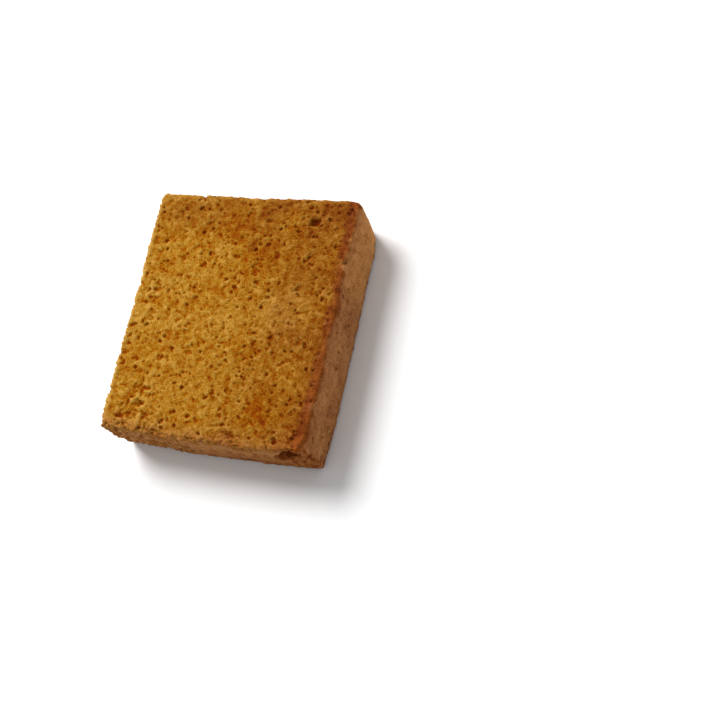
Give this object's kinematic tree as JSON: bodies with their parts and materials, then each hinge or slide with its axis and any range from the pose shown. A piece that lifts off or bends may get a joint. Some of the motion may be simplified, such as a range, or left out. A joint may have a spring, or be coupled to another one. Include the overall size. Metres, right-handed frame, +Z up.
{
  "type": "slice of honey cake",
  "caption": "Thick rectangular slice of golden honey cake lying on a cut face, with an open pored crumb, crisp cut edges and thin brown crust along its baked sides.",
  "frame": {"origin": "on the floor under the middle of the slice, at the middle of its box", "axes": "+Z up out of the broad cut face that shows, +Y along the longer side of that face, +X to its long crust side, with the cut crumb side at -X"},
  "size_m": [0.069, 0.0792, 0.019],
  "materials": {
    "cake_crumb": "matte open-pored golden sponge, browner and smoother along the baked sides"
  },
  "bodies": {
    "root": {"cake_slice": "cake_crumb"}
  },
  "joints": []
}
